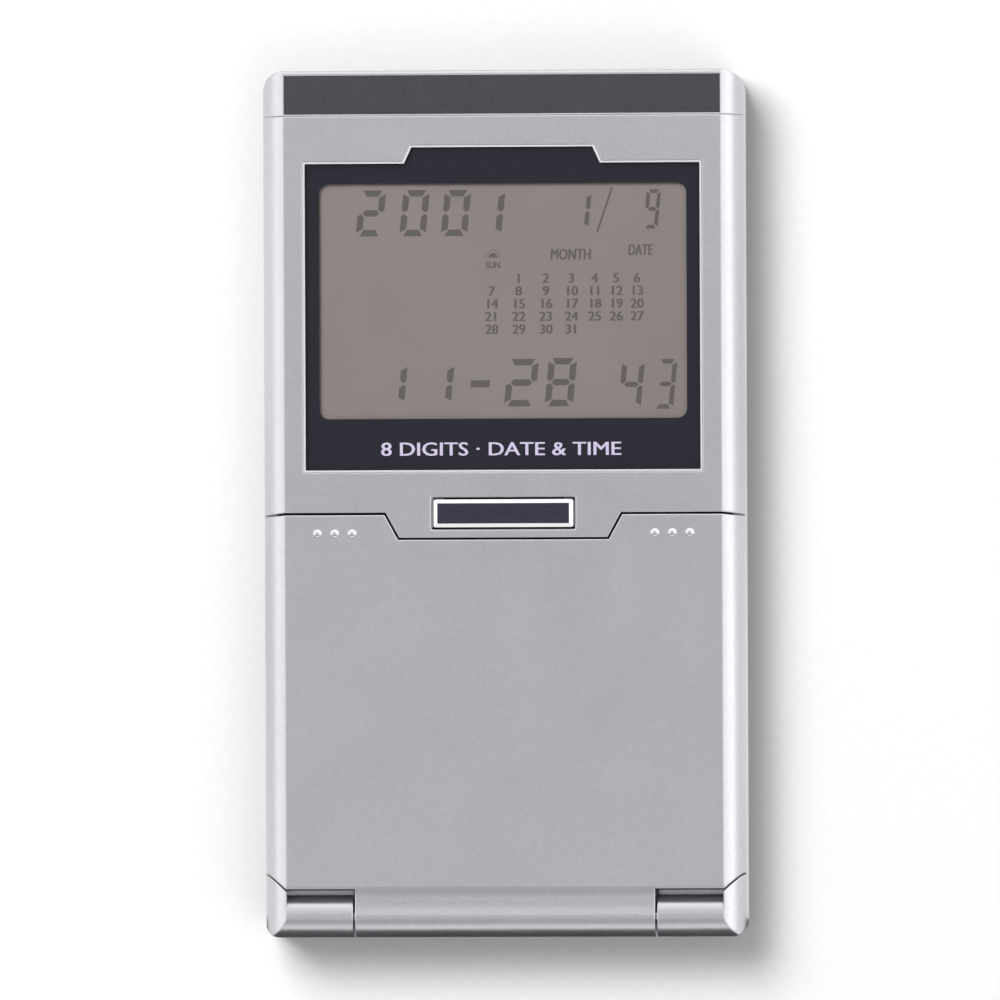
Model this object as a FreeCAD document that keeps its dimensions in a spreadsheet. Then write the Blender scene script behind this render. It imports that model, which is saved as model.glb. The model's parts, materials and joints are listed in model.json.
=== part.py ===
import FreeCAD, Part

import math
import os
import re

import Sketcher

# A pocket calendar calculator with a flip cover, lying on its back.
# +Z points out of the face, +Y to the display end, and the origin is on the surface it rests on,
# under the middle of its outline. Every length is in millimetres.

SIZES = {
    # outline of the closed calculator
    "width": 64.0,
    "length": 115.0,
    "thickness": 13.0,
    "top_corner": 3.0,
    "bottom_corner": 2.0,
    "strip_width": 3.0,
    "strip_radius": 5.2,
    "end_round": 0.55,
    "back_round": 1.6,
    # walls
    "floor_wall": 1.5,
    "side_wall": 2.2,
    "end_wall": 1.6,
    "face_wall": 1.5,
    "cover_wall": 1.4,
    "rim_wall": 1.3,
    "edge_wall": 1.2,
    "deck_wall": 1.2,
    # clearances
    "seam": 0.3,
    "fit": 0.1,
    "running": 0.05,
    "loose": 0.2,
    # where the face is parted
    "end_section": 6.0,
    "cover_reach": 56.2,
    "tongue_depth": 3.3,
    "tongue_top_half": 15.7,
    "tongue_tip_half": 13.9,
    "strip_slant": 0.4,
    # hinge
    "barrel_radius": 2.8,
    "knuckle_half": 19.9,
    "hinge_clear": 4.56,
    "ear_flare": 1.24,
    "pin_radius": 0.75,
    "pin_inner": 5.0,
    "pin_outer": 27.5,
    "valley_radius": 6.0,
    "valley_depth": 0.3,
    "valley_inset": 2.1,
    # cover spring inside the knuckle
    "coil_radius": 1.5,
    "coil_wire": 0.25,
    "coil_start": 6.2,
    "coil_length": 5.0,
    "coil_room": 2.15,
    # display window and what lies under it
    "window_half": 26.3,
    "window_inset": 5.7,
    "window_length": 40.85,
    "window_thick": 1.0,
    "tab_base_half": 13.1,
    "tab_top_half": 12.1,
    "tab_height": 2.15,
    "view_half": 24.3,
    "view_inset": 6.9,
    "view_length": 31.2,
    "view_margin": 0.7,
    "glass": 1.0,
    "glass_half": 26.5,
    "glass_margin": 2.4,
    "ledge": 2.6,
    "backing": 0.3,
    "zebra_thick": 1.8,
    "zebra_half": 25.0,
    "holder_bar": 1.7,
    # solar strip
    "solar_margin": 0.2,
    "solar_lip": 0.65,
    "solar_window_thick": 0.8,
    "cell_half": 27.6,
    "cell_thick": 1.1,
    "lead_radius": 0.25,
    "lead_half": 26.2,
    # circuit board
    "board_reach": 21.7,
    "board_rise": 2.2,
    "board_thick": 1.2,
    "rest_width": 6.0,
    "post_inset": 1.0,
    "post_width": 5.0,
    "boss_rise": 2.3,
    # keypad
    "key_pitch_x": 10.9,
    "key_pitch_y": 8.3,
    "key_width": 8.4,
    "key_depth": 5.6,
    "key_height": 1.35,
    "key_round": 0.6,
    "key_edge": 0.25,
    "key_flange": 0.6,
    "flange_thick": 0.7,
    "key_play": 0.15,
    "keypad_inset": 28.9,
    "membrane": 0.7,
    "dome_foot": 2.5,
    "dome_top": 1.5,
    "dome_skin": 0.4,
    # release button and latch
    "button_half": 9.25,
    "button_depth": 3.7,
    "button_inset": 0.05,
    "button_proud": 0.25,
    "button_play": 0.25,
    "button_bevel": 0.5,
    "bevel_drop": 0.35,
    "button_round": 0.3,
    "press": 1.0,
    "button_flange": 0.7,
    "flange_half": 10.1,
    "flange_reach": 0.7,
    "latch_thick": 0.9,
    "latch_half": 7.9,
    "nose_half": 3.6,
    "hook_thick": 1.0,
    "hook_room": 1.0,
    "hook_play": 0.15,
    "pad_reach": 1.5,
    "pad_thick": 0.5,
    "nose_play": 0.3,
    "latch_back": 4.2,
    "rib_back": 1.2,
    "rib_half": 3.0,
    "rib_thick": 0.9,
    "ramp_inset": 1.35,
    "leg_depth": 2.2,
    "leg_inner": 5.2,
    "leg_outer": 7.6,
    "latch_coil": 0.75,
    "latch_wire": 0.13,
    # grip studs
    "stud_radius": 0.63,
    "stud_rise": 0.38,
    "stud_pin": 0.35,
    "stud_first": 20.1,
    "stud_pitch": 2.3,
    "stud_inset": 2.6,
    # batteries and their door
    "cell_radius": 5.8,
    "cell_height": 3.1,
    "cell_gap": 0.8,
    "cell_inset": 15.5,
    "contact": 0.3,
    "leaf_half_width": 2.2,
    "leaf_half_length": 4.0,
    "roof": 0.85,
    "door_thick": 1.4,
    "door_tongue": 0.7,
    "tongue_thick": 0.5,
    "tongue_rise": 0.5,
    "thumb_half": 4.0,
    "thumb_pitch": 1.2,
    "thumb_width": 0.6,
    "thumb_inset": 5.0,
    "thumb_depth": 0.3,
    # screws and feet
    "screw_radius": 0.7,
    "head_radius": 1.45,
    "head_thick": 0.8,
    "screw_length": 6.0,
    "screw_inset": 1.4,
    "driver_half": 0.9,
    "driver_wing": 0.2,
    "driver_depth": 0.4,
    "boss_radius": 1.6,
    "hanging_radius": 1.2,
    "low_screw_inset": 10.0,
    "mid_screw_inset": 5.9,
    "high_screw_inset": 8.0,
    "foot_radius": 3.0,
    "foot_proud": 0.5,
    "foot_sunk": 0.4,
    "foot_side_inset": 10.5,
    "foot_end_inset": 7.0,
    # parts on the circuit board
    "blob_top": 3.4,
    "blob_foot": 5.0,
    "blob_thick": 1.3,
    "crystal_radius": 1.0,
    "crystal_length": 6.0,
    "chip_length": 2.0,
    "chip_width": 1.2,
    "chip_thick": 0.9,
    "chip_pitch": 4.0,
    # broken edges
    "edge_break": 0.14,
}

KEY_ROWS = [
    ["mode", "memory_recall", "memory_subtract", "memory_add", "clear"],
    ["seven", "eight", "nine", "divide", "square_root"],
    ["four", "five", "six", "multiply", "percent"],
    ["one", "two", "three", "subtract", "sign"],
    ["zero", "point", "equals", "add", "all_clear"],
]

# Heights and places that follow from the sizes, as expressions
HALF = "(width / 2)"
END = "(length / 2)"
BACK = "foot_proud"
INSIDE = "(foot_proud + floor_wall)"
RIM = "(thickness - sqrt(strip_radius ^ 2 - (strip_radius - strip_width) ^ 2))"
CREASE = "(width / 2 - strip_width)"
FACE_UNDER = "(thickness - face_wall)"
COVER_UNDER = "(thickness - cover_wall)"
DECK_TOP = f"({RIM} + deck_wall)"
AXIS_Y = "(barrel_radius - length / 2)"
AXIS_Z = "(thickness - barrel_radius)"
SEAM_Y = "(cover_reach - length / 2)"
TIP_Y = f"({SEAM_Y} - tongue_depth)"
END_SEAM = "(length / 2 - end_section)"
DECK_LOW = f"({AXIS_Y} + barrel_radius + 2 * seam)"
DECK_HIGH = f"({SEAM_Y} + edge_wall + 2.3)"
DECK_HALF = f"({HALF} - rim_wall - 0.5)"
BOARD = f"({INSIDE} + board_rise)"
BOARD_TOP = f"({BOARD} + board_thick)"
CHAMBER_HALF = f"({HALF} - side_wall)"
CELL_LOW = f"({INSIDE} + 0.15)"
CELL_TOP = f"({CELL_LOW} + cell_height)"
ROOF = f"({CELL_TOP} + contact)"
BOX_TOP = f"({ROOF} + roof)"
BOX_HALF = "(2 * cell_radius + cell_gap + 0.3)"
CELL_Y = f"({END} - cell_inset)"
CELL_FAR = f"({CELL_Y} + cell_radius)"
BOX_LOW = f"({CELL_Y} - cell_radius - 0.2)"
GLASS_TOP = f"({FACE_UNDER} - fit)"
GLASS_MID = f"({GLASS_TOP} - glass)"
GLASS_LOW = f"({GLASS_MID} - glass)"
WINDOW_LOW = f"({SEAM_Y} + window_inset)"
WINDOW_HIGH = f"({WINDOW_LOW} + window_length)"
VIEW_LOW = f"({WINDOW_LOW} + view_inset)"
VIEW_HIGH = f"({VIEW_LOW} + view_length)"
GLASS_START = f"({VIEW_LOW} - 0.4)"
GLASS_END = f"({VIEW_HIGH} + glass_margin)"
BOARD_END = f"({VIEW_LOW} + board_reach)"
LEDGE_Y = f"({GLASS_START} - ledge)"
HOLDER_LOW = f"({LEDGE_Y} - 0.3)"
LATCH_LOW = f"({DECK_TOP} + fit)"
LATCH_TOP = f"({LATCH_LOW} + latch_thick)"
HOOK_FACE = f"({TIP_Y} - seam / 2 - hook_room)"
HOOK_BACK = f"({HOOK_FACE} - hook_thick)"
LATCH_BACK = f"({HOLDER_LOW} - latch_back)"
SPRING_RIB = f"({HOLDER_LOW} - rib_back)"
BUTTON_Y = f"({SEAM_Y} + button_inset)"
KEYPAD_Y = f"(keypad_inset - {END})"
LOW_SCREW = f"(low_screw_inset - {END})"
MID_SCREW = f"({SEAM_Y} + mid_screw_inset)"
HIGH_SCREW = f"({END} - high_screw_inset)"
SCREW_X = f"({HALF} - side_wall - screw_inset)"
BOARD_HALF = f"({SCREW_X} - boss_radius - 0.3)"
SEAT = f"({BACK} + 1)"
BOSS_TOP = f"({INSIDE} + boss_rise)"

doc = FreeCAD.newDocument("calendar_calculator")
sheet = doc.addObject("Spreadsheet::Sheet", "sizes")
pieces = []
serial = iter(range(1, 100000))


def fill_sheet():
    """One row for each driving size: its name, its value and its alias."""
    for row, (alias, value) in enumerate(SIZES.items(), start=1):
        sheet.set(f"A{row}", alias)
        sheet.set(f"B{row}", str(value))
        sheet.setAlias(f"B{row}", alias)
    doc.recompute()


def linked(text):
    """An expression in which each size's name reads its cell."""
    return re.sub(r"[a-z_]+", lambda m: f"sizes.{m[0]}" if m[0] in SIZES else m[0], text)


def bind(obj, prop, text):
    obj.setExpression(prop, linked(text))


def new(kind, name):
    return doc.addObject(kind, f"{name}_{next(serial)}")


def box(name, x, y, z):
    """A block between two expressions along each axis."""
    obj = new("Part::Box", name)
    for prop, axis, (low, high) in zip(("Length", "Width", "Height"), "xyz", (x, y, z)):
        bind(obj, prop, f"({high}) - ({low})")
        bind(obj, f"Placement.Base.{axis}", low)
    return obj


def wide(half):
    """The two ends of a stretch that is centred on the middle plane."""
    return f"-({half})", half


def sided(side, inner, outer):
    """The two ends of a stretch on one side of the middle plane, lower end first."""
    return (inner, outer) if side > 0 else (f"-({outer})", f"-({inner})")


TURNS = {
    "x": FreeCAD.Rotation(FreeCAD.Vector(0, 1, 0), 90),
    "y": FreeCAD.Rotation(FreeCAD.Vector(1, 0, 0), -90),
    "z": FreeCAD.Rotation(),
    "-x": FreeCAD.Rotation(FreeCAD.Vector(0, 1, 0), -90),
}


def outward(side):
    return "x" if side > 0 else "-x"


def place(obj, axis, at):
    obj.Placement = FreeCAD.Placement(FreeCAD.Vector(), TURNS[axis])
    for name, text in zip("xyz", at):
        bind(obj, f"Placement.Base.{name}", text)


def rod(name, axis, at, radius, length):
    """A cylinder that starts at a point and runs along +X, +Y or +Z."""
    obj = new("Part::Cylinder", name)
    bind(obj, "Radius", radius)
    bind(obj, "Height", length)
    place(obj, axis, at)
    return obj


def cone(name, axis, at, start, end, length):
    """A cone frustum that starts at a point and runs along +X, -X, +Y or +Z."""
    obj = new("Part::Cone", name)
    bind(obj, "Radius1", start)
    bind(obj, "Radius2", end)
    bind(obj, "Height", length)
    place(obj, axis, at)
    return obj


def join(name, parts):
    obj = new("Part::MultiFuse", name)
    obj.Shapes = parts
    obj.Refine = True
    return obj


def shared(name, parts):
    obj = new("Part::MultiCommon", name)
    obj.Shapes = parts
    return obj


def less(name, base, tools):
    """The base without the tools."""
    obj = new("Part::Cut", name)
    obj.Base = base
    obj.Tool = tools[0] if len(tools) == 1 else join(f"{name}_cuts", tools)
    obj.Refine = True
    return obj


def upright(edge, shape):
    """True for a straight edge along Z."""
    low, high = edge.Vertexes[0].Point, edge.Vertexes[-1].Point
    return abs(low.x - high.x) < 1e-6 and abs(low.y - high.y) < 1e-6 and abs(low.z - high.z) > 1e-6


def on_top(edge, shape):
    """True for an edge in the plane of the shape's highest face."""
    return edge.BoundBox.ZMin > shape.BoundBox.ZMax - 1e-4


def eased(name, base, size, wanted, kind="Part::Fillet"):
    """The base with the wanted edges rounded, or chamfered, by one of the sizes."""
    doc.recompute([base])
    shape = base.Shape
    amount = sheet.get(size)
    obj = new(kind, name)
    obj.Base = base
    obj.Edges = [(number, amount, amount) for number, edge in enumerate(shape.Edges, start=1)
                 if wanted(edge, shape)]
    return obj


def face_edge_within(half, low, high):
    """A test for an edge in the plane of the face, inside one rectangle of it."""
    reach = value(half)
    near = value(low)
    far = value(high)

    def wanted(edge, shape):
        room = edge.BoundBox
        flat = room.ZMin > shape.BoundBox.ZMax - 1e-4
        return flat and room.XMax < reach and near < room.YMin and room.YMax < far

    return wanted


def keep(label, obj):
    """Name a finished piece: its label is its node."""
    obj.Label = label
    pieces.append(obj)
    return obj


def group(label, parts):
    """Several separate solids that share one node."""
    obj = new("Part::Compound", label)
    obj.Links = parts
    return keep(label, obj)


def arc_between(a, b, radius):
    """The short arc from a to b that bulges to the right of the way from a to b."""
    half = (b - a) / 2
    rise = math.sqrt(max(radius**2 - half.Length**2, 0))
    left = FreeCAD.Vector(-half.y, half.x, 0).normalize()
    centre = a + half + left * rise
    start = math.atan2(a.y - centre.y, a.x - centre.x)
    end = math.atan2(b.y - centre.y, b.x - centre.x)
    circle = Part.Circle(centre, FreeCAD.Vector(0, 0, 1), radius)
    return Part.ArcOfCircle(circle, start, end if end > start else end + 2 * math.pi)


def outline(name, corners):
    """A closed sketch, drawn anticlockwise.

    A corner is (x, y), or (x, y, radius) where an arc of that radius leaves it.
    """
    sketch = new("Sketcher::SketchObject", name)
    marks = [sketch.addGeometry(Part.Point(FreeCAD.Vector()), True) for _ in corners]
    for mark, corner in zip(marks, corners):
        for kind, text in zip(("DistanceX", "DistanceY"), corner):
            index = sketch.addConstraint(Sketcher.Constraint(kind, -1, 1, mark, 1, 1.0))
            bind(sketch, f"Constraints[{index}]", text)
    rulers = {}
    for number, corner in enumerate(corners):
        if len(corner) == 3:
            circle = Part.Circle(FreeCAD.Vector(), FreeCAD.Vector(0, 0, 1), 1)
            ruler = sketch.addGeometry(circle, True)
            index = sketch.addConstraint(Sketcher.Constraint("Radius", ruler, 1.0))
            bind(sketch, f"Constraints[{index}]", corner[2])
            rulers[number] = ruler
    sketch.recompute()
    spots = [FreeCAD.Vector(sketch.Geometry[m].X, sketch.Geometry[m].Y, 0) for m in marks]
    for number, corner in enumerate(corners):
        after = (number + 1) % len(corners)
        if number in rulers:
            ruler = rulers[number]
            curve = arc_between(spots[number], spots[after], sketch.Geometry[ruler].Radius)
        else:
            curve = Part.LineSegment(spots[number], spots[after])
        edge = sketch.addGeometry(curve, False)
        sketch.addConstraint(Sketcher.Constraint("Coincident", edge, 1, marks[number], 1))
        sketch.addConstraint(Sketcher.Constraint("Coincident", edge, 2, marks[after], 1))
        if number in rulers:
            sketch.addConstraint(Sketcher.Constraint("Equal", rulers[number], edge))
    return sketch


# A sketch's own X and Y, and the way it is extruded, in the calculator's frame
PLANES = {
    "XY": FreeCAD.Rotation(),
    "XZ": FreeCAD.Rotation(FreeCAD.Vector(1, 0, 0), 90),
    "YZ": FreeCAD.Rotation(FreeCAD.Vector(1, 1, 1), 120),
}


def prism(name, plane, corners, low, high):
    """A sketch on one of the three planes, extruded between two places on the axis across it."""
    sketch = outline(f"{name}_outline", corners)
    sketch.Placement = FreeCAD.Placement(FreeCAD.Vector(), PLANES[plane])
    obj = new("Part::Extrusion", name)
    obj.Base = sketch
    obj.DirMode = "Custom"
    across = {"XY": "z", "XZ": "y", "YZ": "x"}[plane]
    obj.Dir = FreeCAD.Vector(*[float(axis == across) for axis in "xyz"])
    bind(obj, "LengthFwd", high)
    bind(obj, "LengthRev", f"-({low})")
    obj.Solid = True
    return obj


def envelope():
    """The outer form of the closed calculator, without its feet and studs."""
    across = [
        (f"-{HALF} + back_round", BACK),
        (f"{HALF} - back_round", BACK, "back_round"),
        (HALF, f"{BACK} + back_round"),
        (HALF, RIM, "strip_radius"),
        (CREASE, "thickness"),
        (f"-{CREASE}", "thickness", "strip_radius"),
        (f"-{HALF}", RIM),
        (f"-{HALF}", f"{BACK} + back_round", "back_round"),
    ]
    along = [
        (f"-{END} + back_round", BACK),
        (f"{END} - back_round", BACK, "back_round"),
        (END, f"{BACK} + back_round"),
        (END, "thickness - end_round", "end_round"),
        (f"{END} - end_round", "thickness"),
        (AXIS_Y, "thickness", "barrel_radius"),
        (f"-{END}", AXIS_Z),
        (f"-{END}", f"{BACK} + back_round", "back_round"),
    ]
    plan = [
        (f"-{HALF} + bottom_corner", f"-{END}"),
        (f"{HALF} - bottom_corner", f"-{END}", "bottom_corner"),
        (HALF, f"-{END} + bottom_corner"),
        (HALF, f"{END} - top_corner", "top_corner"),
        (f"{HALF} - top_corner", END),
        (f"-{HALF} + top_corner", END, "top_corner"),
        (f"-{HALF}", f"{END} - top_corner"),
        (f"-{HALF}", f"-{END} + bottom_corner", "bottom_corner"),
    ]
    forms = [
        prism("section_across", "XZ", across, f"-{END}", END),
        prism("section_along", "YZ", along, f"-{HALF}", HALF),
        prism("section_plan", "XY", plan, "0", "thickness"),
    ]
    return shared("envelope", forms)


def hollow(name, face_wall, low, high):
    """The room under a face that keeps a wall under the flat and a rim wall inside the round strips."""
    radius = "(strip_radius - rim_wall)"
    top = f"(thickness - {face_wall})"
    bend = f"({HALF} - strip_radius + sqrt({radius} ^ 2 - ({top} - {RIM}) ^ 2))"
    corners = [
        (f"-{HALF} + rim_wall", "0"),
        (f"{HALF} - rim_wall", "0"),
        (f"{HALF} - rim_wall", RIM, radius),
        (bend, top),
        (f"-{bend}", top, radius),
        (f"-{HALF} + rim_wall", RIM),
    ]
    return prism(name, "XZ", corners, low, high)


def parting(name, shift, above, far, low, high):
    """The plan on one side of the line that parts the display case from the cover.

    The shift moves every stretch of the line sideways, towards the display end where it is positive.
    """
    slope = "((tongue_top_half - tongue_tip_half) / tongue_depth)"
    lean = f"(sqrt(1 + {slope} ^ 2) - {slope})"
    top = f"(tongue_top_half - {lean} * ({shift}))"
    tip = f"(tongue_tip_half - {lean} * ({shift}))"
    across = f"({SEAM_Y} + {shift})"
    outer = f"({across} - strip_slant)"
    line = [
        (f"-{HALF} - 1", outer),
        (f"-{CREASE}", across),
        (f"-{top}", across),
        (f"-{tip}", f"{TIP_Y} + {shift}"),
        (tip, f"{TIP_Y} + {shift}"),
        (top, across),
        (CREASE, across),
        (f"{HALF} + 1", outer),
    ]
    ends = [(f"{HALF} + 1", far), (f"-{HALF} - 1", far)]
    corners = line + ends if above else ends[::-1] + line[::-1]
    return prism(name, "XY", corners, low, high)


def bosses(name, places, radius, low, high):
    found = []
    for y in places:
        for side in (-1, 1):
            at = (f"{side} * {SCREW_X}", y, low)
            found.append(rod(name, "z", at, radius, f"({high}) - ({low})"))
    return found


LOW_SCREWS = [LOW_SCREW]
HIGH_SCREWS = [MID_SCREW, HIGH_SCREW]
ALL_SCREWS = LOW_SCREWS + HIGH_SCREWS


def screw_pilots(places):
    return bosses("pilot", places, "screw_radius", "0", f"{SEAT} + screw_length + 0.3")


def ear(side, form):
    """A corner block of the rear case, with its half barrel and the foot that carries it."""
    flare = f"(ear_flare * ({HALF} - {CREASE}) / strip_width)"
    radius = "(hinge_clear - seam)"
    at = (f"{side} * {CREASE}", AXIS_Y, AXIS_Z)
    block = cone("ear_block", outward(side), at, radius, f"{radius} + {flare}",
                 f"{HALF} - {CREASE}")
    stretch = sided(side, "knuckle_half + seam", f"{CREASE} + 0.5")
    barrel = rod("ear_barrel", "x", (stretch[0], AXIS_Y, AXIS_Z), "barrel_radius",
                 f"({stretch[1]}) - ({stretch[0]})")
    foot = box("ear_foot", stretch, (f"-{END}", f"{AXIS_Y} + barrel_radius * 0.6"), (BACK, AXIS_Z))
    return shared("ear_form", [join("ear_solid", [block, barrel, foot]), form])


def pin_hole(side, radius, inner, outer):
    low, high = sided(side, inner, outer)
    return rod("pin_hole", "x", (low, AXIS_Y, AXIS_Z), radius, f"({high}) - ({low})")


def board_rests():
    """Three ribs a side that carry the circuit board, from near the hinge to near the batteries."""
    for place in (f"{DECK_LOW} + 11", KEYPAD_Y, f"{BOARD_END} - 14"):
        yield place, f"{place} + edge_wall"


def rear_case(form):
    slab = box("rear_slab", wide(HALF), wide(END), (BACK, RIM))
    chamber_low = f"({DECK_LOW} + edge_wall)"
    chamber = box("chamber", wide(CHAMBER_HALF), (chamber_low, f"{END} - end_wall - 0.6"),
                  (INSIDE, "thickness"))
    trough = box("trough", wide("knuckle_half + seam"), (f"-{END} + end_wall", DECK_LOW),
                 (INSIDE, "thickness"))
    dip = box("dip", wide("knuckle_half + seam"), (f"-{END} - 1", DECK_LOW),
              (f"{AXIS_Z} - barrel_radius - seam", "thickness"))
    tray = less("tray", shared("tray_form", [slab, form]), [chamber, trough, dip])
    battery_box = box("battery_box", wide(f"{BOX_HALF} + edge_wall"),
                      (f"{BOX_LOW} - edge_wall", f"{END} - end_wall"), (BACK, BOX_TOP))
    rests = [
        box("board_rest", sided(side, f"{CHAMBER_HALF} - rest_width", CHAMBER_HALF), (low, high),
            (INSIDE, BOARD))
        for side in (-1, 1)
        for low, high in board_rests()
    ]
    posts = [
        box("holder_post", sided(side, "glass_half - post_inset - post_width", "glass_half - post_inset"),
            (f"{GLASS_END} - holder_bar", GLASS_END), (INSIDE, BOX_TOP))
        for side in (-1, 1)
    ]
    solids = [tray, battery_box, ear(-1, form), ear(1, form)] + rests + posts
    solids += bosses("rear_boss", ALL_SCREWS, "boss_radius", BACK, BOSS_TOP)
    body = join("rear_body", solids)
    cradle_y = f"({CELL_FAR} + contact + 0.1)"
    cell_room = box("cell_room", wide(BOX_HALF), (BOX_LOW, cradle_y), ("0", ROOF))
    spare_room = box("spare_room", wide(BOX_HALF), (f"{cradle_y} + 1", f"{END} - end_wall - 0.6"),
                     (INSIDE, ROOF))
    door_y = (BOX_LOW, f"{END} + 1")
    door_hole = box("door_hole", wide(f"{BOX_HALF} + fit"), door_y, ("0", INSIDE))
    groove_low = f"({BACK} + tongue_rise - running)"
    grooves = box("door_grooves", wide(f"{BOX_HALF} + door_tongue + fit"), door_y,
                  (groove_low, f"{groove_low} + tongue_thick + 2 * running"))
    deck_room = box("deck_room", wide(f"{DECK_HALF} + fit"), (f"{DECK_LOW} - fit", "0"),
                    (RIM, f"{DECK_TOP} + seam"))
    cuts = [cell_room, spare_room, door_hole, grooves, deck_room]
    cuts += bosses("screw_hole", ALL_SCREWS, "screw_radius + fit", "0", "thickness / 2")
    cuts += bosses("head_room", ALL_SCREWS, "head_radius + loose", "0", SEAT)
    cuts += [rod("foot_room", "z", (x, y, "0"), "foot_radius", f"{BACK} + foot_sunk")
             for x, y in foot_places()]
    cuts += [pin_hole(side, "pin_radius", "knuckle_half", "pin_outer") for side in (-1, 1)]
    divider = box("cell_divider", wide("cell_gap - 0.2"), (f"{BOX_LOW} - 0.1", f"{CELL_FAR} - 1"),
                  (INSIDE, f"{ROOF} + 0.1"))
    return keep("rear_case", join("rear_case", [less("rear_cut", body, cuts), divider]))


def foot_places():
    return [(f"{sx} * ({HALF} - foot_side_inset)", f"{sy} * ({END} - foot_end_inset)")
            for sx in (-1, 1) for sy in (-1, 1)]


def rubber_feet():
    feet = [rod("foot", "z", (x, y, "0"), "foot_radius", f"{BACK} + foot_sunk")
            for x, y in foot_places()]
    return group("rubber_feet", feet)


def window_outline(name, grow, low, high):
    """The display window: a rectangle with a low trapezoid on its top edge."""
    top = f"({WINDOW_HIGH} + {grow})"
    corners = [
        (f"-window_half - {grow}", f"{WINDOW_LOW} - {grow}"),
        (f"window_half + {grow}", f"{WINDOW_LOW} - {grow}"),
        (f"window_half + {grow}", top),
        (f"tab_base_half + {grow}", top),
        (f"tab_top_half + {grow}", f"{top} + tab_height"),
        (f"-tab_top_half - {grow}", f"{top} + tab_height"),
        (f"-tab_base_half - {grow}", top),
        (f"-window_half - {grow}", top),
    ]
    return prism(name, "XY", corners, low, high)


def display_case(form):
    region = parting("display_side", "seam / 2", True, f"{END_SEAM} - running", RIM, "thickness + 1")
    outer = shared("display_outer", [form, region])
    room = hollow("display_room", "face_wall", f"-{END}", END)
    inner_plan = parting("display_plan", "seam / 2 + edge_wall", True, END, "0", "thickness")
    inner = shared("display_inner", [room, inner_plan])
    shell = less("display_shell", outer, [inner])
    hanging = bosses("hanging_boss", HIGH_SCREWS, "hanging_radius", BOSS_TOP,
                     f"{FACE_UNDER} + 0.1")
    spring_rib = box("spring_rib", wide("rib_half"), (SPRING_RIB, f"{SPRING_RIB} + rib_thick"),
                     (LATCH_LOW, f"{FACE_UNDER} + 0.1"))
    body = join("display_body", [shell, spring_rib] + hanging)
    button_low = f"({BUTTON_Y} - button_depth / 2 - button_play)"
    button_high = f"({BUTTON_Y} + button_depth / 2 + button_play)"
    view_x = "view_half + view_margin"
    cuts = [
        window_outline("window_recess", "fit", "thickness - window_thick", "thickness + 1"),
        box("view_hole", wide(view_x), (f"{VIEW_LOW} - view_margin", f"{VIEW_HIGH} + view_margin"),
            (RIM, "thickness")),
        box("button_hole", wide("button_half + button_play"), (button_low, button_high),
            (DECK_TOP, "thickness + 1")),
        box("nose_slot", wide("nose_half + nose_play"), (f"{TIP_Y} - 1", f"{TIP_Y} + 3"),
            (RIM, f"{LATCH_TOP} + fit")),
        box("deck_room", wide(f"{DECK_HALF} + fit"), (f"-{END}", f"{DECK_HIGH} + fit"),
            ("0", DECK_TOP)),
    ]
    cuts += screw_pilots(HIGH_SCREWS)
    case = less("display_raw", body, cuts)
    round_window = face_edge_within("window_half + 1", f"{WINDOW_LOW} - 1",
                                    f"{WINDOW_HIGH} + tab_height + 1")
    round_button = face_edge_within("button_half + button_play + 0.1", f"{button_low} - 0.1",
                                    f"{button_high} + 0.1")
    broken = eased("window_edges", case, "edge_break", round_window, "Part::Chamfer")
    keep("display_case", eased("display_case", broken, "edge_break", round_button, "Part::Chamfer"))


def end_cap(form):
    """The end section that carries the solar strip."""
    region = box("end_region", wide(f"{HALF} + 1"), (END_SEAM, f"{END} + 1"), (RIM, "thickness + 1"))
    room = hollow("end_room", "face_wall", f"{END_SEAM} - 1", f"{END} - end_wall")
    body = less("end_shell", shared("end_outer", [form, region]), [room])
    strip_y = (f"{END_SEAM} + solar_margin", f"{END} - solar_lip")
    recess = box("strip_recess", wide(f"{CREASE} - running"), strip_y,
                 ("thickness - solar_window_thick", "thickness + 1"))
    light = box("light_slot", wide("cell_half - 0.6"),
                (f"{END_SEAM} + 0.8", f"{END} - end_wall - 0.4"), (RIM, "thickness"))
    return keep("end_cap", less("end_cap", body, [recess, light]))


def solar_parts():
    strip_y = (f"{END_SEAM} + solar_margin + running", f"{END} - solar_lip - running")
    top = "thickness - 0.03"
    keep("solar_window", box("solar_window", wide(f"{CREASE} - 2 * running"), strip_y,
                             ("thickness - solar_window_thick", top)))
    keep("solar_cell", box("solar_cell", wide("cell_half"),
                           (f"{END_SEAM} + 0.4", f"{END} - end_wall - 0.15"),
                           (f"{FACE_UNDER} - cell_thick", FACE_UNDER)))
    leads = []
    drop_y = f"({END_SEAM} + 2)"
    run_z = f"({BOARD_TOP} + 0.45)"
    land_y = f"({BOARD_END} - 1.5)"
    for side in (-1, 1):
        x = f"{side} * lead_half"
        corners = [(x, drop_y, run_z), (x, land_y, run_z)]
        parts = [
            rod("lead_drop", "z", corners[0], "lead_radius", f"{FACE_UNDER} - cell_thick - {run_z}"),
            rod("lead_run", "y", corners[1], "lead_radius", f"{drop_y} - {land_y}"),
            rod("lead_foot", "z", (x, land_y, BOARD_TOP), "lead_radius", f"{run_z} - {BOARD_TOP}"),
        ]
        for corner in corners:
            ball = new("Part::Sphere", "lead_bend")
            bind(ball, "Radius", "lead_radius")
            place(ball, "z", corner)
            parts.append(ball)
        leads.append(join("lead", parts))
    group("solar_leads", leads)


def display_window():
    body = window_outline("display_window", "0", "thickness - window_thick", "thickness - 0.02")
    return keep("display_window", body)


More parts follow.
